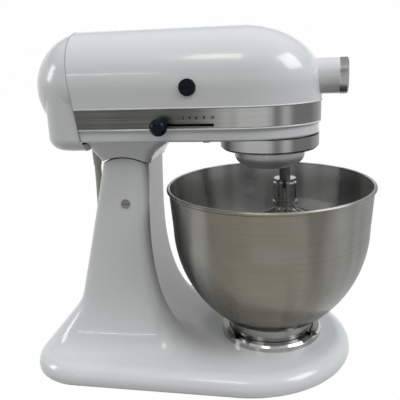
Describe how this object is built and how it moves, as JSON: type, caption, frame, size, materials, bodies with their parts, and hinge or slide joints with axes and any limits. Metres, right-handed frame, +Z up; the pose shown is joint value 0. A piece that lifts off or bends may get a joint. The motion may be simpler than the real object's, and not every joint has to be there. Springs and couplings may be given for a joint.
{
  "type": "stand mixer",
  "caption": "Tilt-head kitchen stand mixer with a steel bowl and wire whip; a motor turns the whip in planetary motion and drives a front attachment hub.",
  "frame": {"origin": "on the table, under the middle of the mixer's length and width, without the cord", "axes": "+X towards the attachment hub, +Y to the side away from the speed lever, +Z up"},
  "size_m": [0.3664, 0.3447, 0.355],
  "materials": {
    "white": "die-cast, white gloss enamel",
    "bowl_steel": "polished, finely brushed",
    "chrome": "polished",
    "steel": "machined",
    "band": "satin, brushed along its length",
    "black": "gloss",
    "rubber": "matt",
    "cord": "matt",
    "brass": "machined",
    "carbon": "matt",
    "iron": "bare",
    "copper": "enamelled",
    "grey_metal": "satin",
    "board": "matt",
    "wire": "polished"
  },
  "bodies": {
    "stand": {"pedestal": "white", "rubber_feet": "rubber", "bowl_clamp_plate": "chrome", "clamp_plate_screws": "steel", "hinge_pin": "steel", "cord_lead": "cord", "cord_coil": "cord", "cord_tie": "black", "plug_body": "cord", "plug_pins": "brass"},
    "bowl": {"bowl_shell": "bowl_steel", "bowl_foot": "bowl_steel"},
    "head": {"motor_housing": "white", "lower_gear_case": "white", "end_cover": "white", "trim_band": "band", "brush_caps": "black", "brush_holders": "brass", "carbon_brushes": "carbon", "field_stator": "iron", "field_coils": "copper", "rear_bearing_plate": "grey_metal", "motor_bearings": "brass", "speed_control_board": "board", "gear_case_screws": "steel", "hub_sleeve": "white", "hub_ring": "chrome", "drip_cup": "bowl_steel", "ring_gear": "steel", "drive_shaft_bush": "brass", "strain_relief": "black"},
    "speed_lever": {"speed_knob": "black", "speed_arm": "steel"},
    "lock_lever": {"lock_lever": "chrome", "lock_knob": "black"},
    "planetary": {"planetary_carrier": "grey_metal", "drive_shaft": "steel", "drive_gear": "steel", "center_bevel_gear": "steel", "planetary_pin": "steel"},
    "beater": {"beater_shaft": "steel", "beater_pinion": "steel", "beater_pin": "steel", "whip_hub": "grey_metal", "whip_wires": "wire"},
    "idler": {"worm_wheel": "brass", "idler_shaft": "steel", "idler_pinion": "steel"},
    "armature": {"armature_shaft": "steel", "rotor_core": "iron", "commutator": "copper", "cooling_fan": "black"},
    "hub_drive": {"hub_drive_shaft": "steel", "hub_bevel_gear": "steel"},
    "hub_cap": {"hub_cap": "chrome"},
    "attachment_knob": {"attachment_knob": "black", "attachment_screw": "steel"}
  },
  "joints": [
    {"name": "head_tilt", "type": "hinge", "parent": "stand", "child": "head", "pos_m": [-0.07675, 0, 0.178], "axis": [0, -1, 0], "range_deg": [0, 35], "deforming": ["cord_lead"]},
    {"name": "bowl_twist", "type": "hinge", "parent": "stand", "child": "bowl", "pos_m": [0.07275, 0, 0.026], "axis": [0, 0, 1], "range_deg": [0, 30]},
    {"name": "speed_slide", "type": "slide", "parent": "head", "child": "speed_lever", "axis": [1, 0, 0], "range_m": [0, 0.046]},
    {"name": "lock_turn", "type": "hinge", "parent": "head", "child": "lock_lever", "pos_m": [-0.08233, 0, 0.24176], "axis": [0, 1, 0], "range_deg": [0, 75]},
    {"name": "planetary_spin", "type": "hinge", "parent": "head", "child": "planetary", "pos_m": [0.07275, 0, 0.25], "axis": [0, 0, 1], "continuous": true},
    {"name": "beater_spin", "type": "hinge", "parent": "planetary", "child": "beater", "pos_m": [0.08775, 0.02364, 0.22], "axis": [0, 0, 1], "continuous": true},
    {"name": "idler_spin", "type": "hinge", "parent": "head", "child": "idler", "pos_m": [0.03321, 0.02351, 0.28], "axis": [0, 0, 1], "continuous": true},
    {"name": "armature_spin", "type": "hinge", "parent": "head", "child": "armature", "pos_m": [-0.01425, 0, 0.2993], "axis": [1, 0, 0], "continuous": true},
    {"name": "hub_drive_spin", "type": "hinge", "parent": "head", "child": "hub_drive", "pos_m": [0.10075, 0, 0.3025], "axis": [1, 0, 0], "continuous": true},
    {"name": "hub_cap_pull", "type": "slide", "parent": "head", "child": "hub_cap", "axis": [1, 0, 0], "range_m": [0, 0.07]},
    {"name": "attachment_knob_turn", "type": "hinge", "parent": "head", "child": "attachment_knob", "pos_m": [0.13125, 0.02, 0.3025], "axis": [0, 1, 0], "range_deg": [0, 720]}
  ],
  "couplings": [
    {"joint": "beater_spin", "follows": "planetary_spin", "ratio": -3},
    {"joint": "idler_spin", "follows": "planetary_spin", "ratio": -2.8333},
    {"joint": "armature_spin", "follows": "planetary_spin", "ratio": 56.667},
    {"joint": "hub_drive_spin", "follows": "planetary_spin", "ratio": 1.5}
  ]
}
